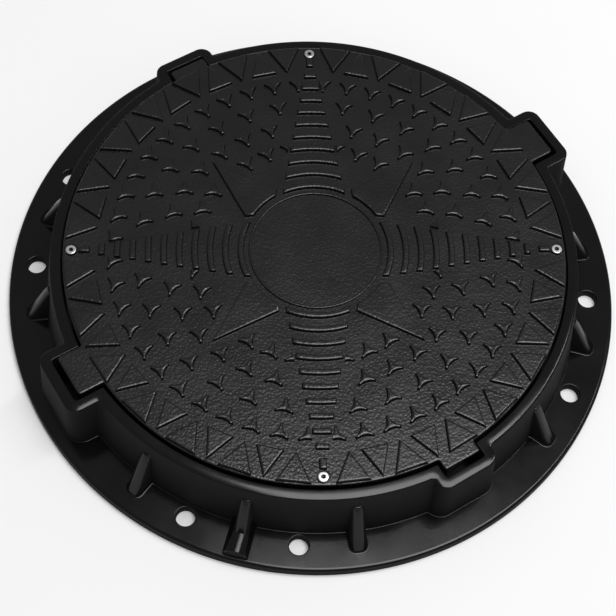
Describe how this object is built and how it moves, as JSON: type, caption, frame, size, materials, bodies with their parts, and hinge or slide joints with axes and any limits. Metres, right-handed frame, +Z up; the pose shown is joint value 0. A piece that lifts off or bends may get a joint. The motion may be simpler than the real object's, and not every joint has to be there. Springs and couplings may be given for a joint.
{
  "type": "well cover",
  "caption": "Round black plastic well cover: a lugged lid with raised anti-slip relief, screwed down into a flanged, gusseted ground frame.",
  "frame": {"origin": "middle of the flange's underside, where the frame rests on the shaft", "axes": "+Z up out of the ground; +X and +Y through the cover screws"},
  "size_m": [0.79, 0.79, 0.1015],
  "materials": {
    "frame_plastic": "smooth satin moulded black plastic",
    "cover_plastic": "hammered, slightly glossy moulded black plastic",
    "screw_steel": "bright stainless steel",
    "insert_brass": "plain turned brass"
  },
  "bodies": {
    "root": {"frame": "frame_plastic", "cover": "cover_plastic", "cover_screws": "screw_steel", "threaded_inserts": "insert_brass"}
  },
  "joints": []
}
